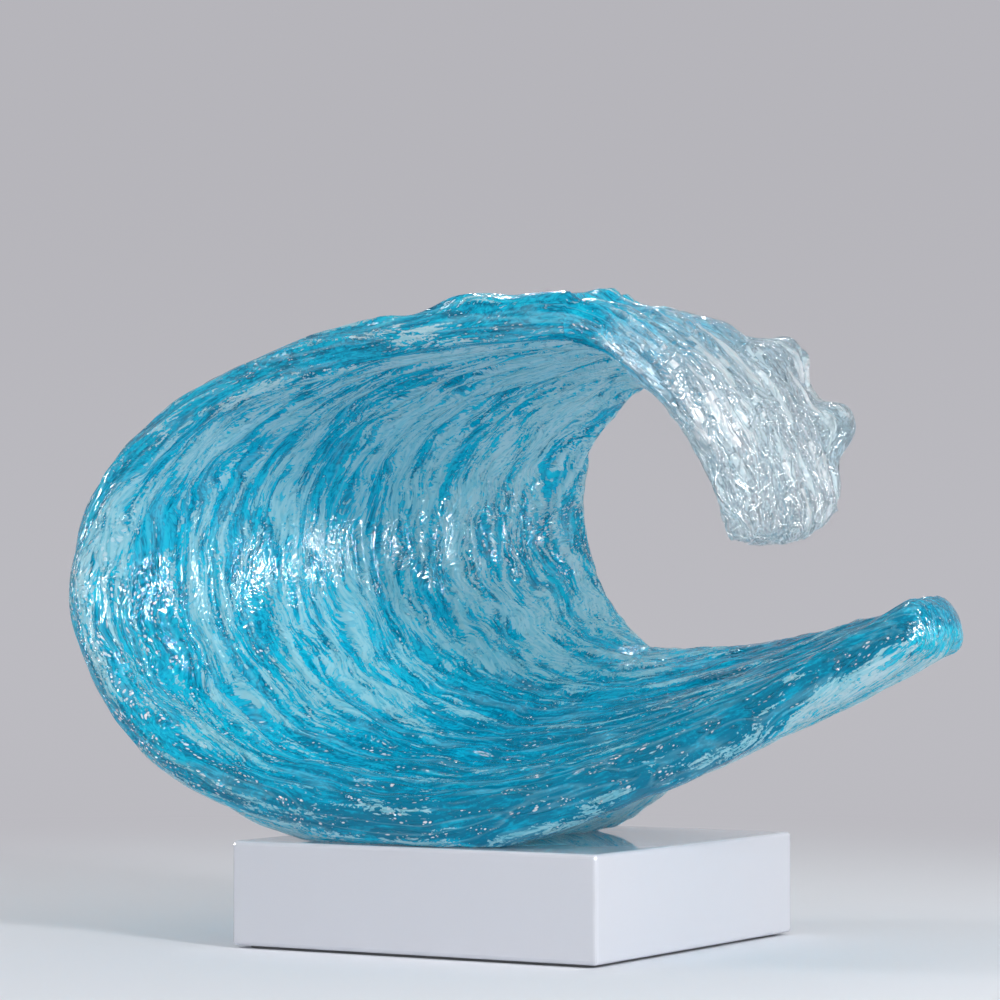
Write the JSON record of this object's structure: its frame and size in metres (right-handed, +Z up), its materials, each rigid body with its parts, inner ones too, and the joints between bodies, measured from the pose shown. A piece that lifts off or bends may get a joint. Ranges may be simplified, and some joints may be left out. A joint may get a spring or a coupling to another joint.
{
  "type": "resin wave sculpture",
  "caption": "Curling sheet of translucent blue resin with a clear breaking lip, fixed from below to a square white block that stands on a thin pad.",
  "frame": {"origin": "middle of the pad's underside, on the surface that the sculpture stands on", "axes": "+Z up, +X along the sculpture towards the tail, -Y towards the open side of the curl"},
  "size_m": [0.449, 0.2114, 0.3111],
  "materials": {
    "blue_resin": "translucent turquoise-blue casting resin, glossy and rippled",
    "clear_resin": "clear casting resin with a pale grey-blue cast, glossy and rippled",
    "white_gloss": "polished white cast acrylic",
    "pad_felt": "thin grey felt",
    "stainless_steel": "plain stainless steel"
  },
  "bodies": {
    "root": {"wave_body": "blue_resin", "wave_lip": "clear_resin", "block": "white_gloss", "base_pad": "pad_felt", "stud_front": "stainless_steel", "stud_rear": "stainless_steel", "washer_front": "stainless_steel", "washer_rear": "stainless_steel", "nut_front": "stainless_steel", "nut_rear": "stainless_steel"}
  },
  "joints": []
}
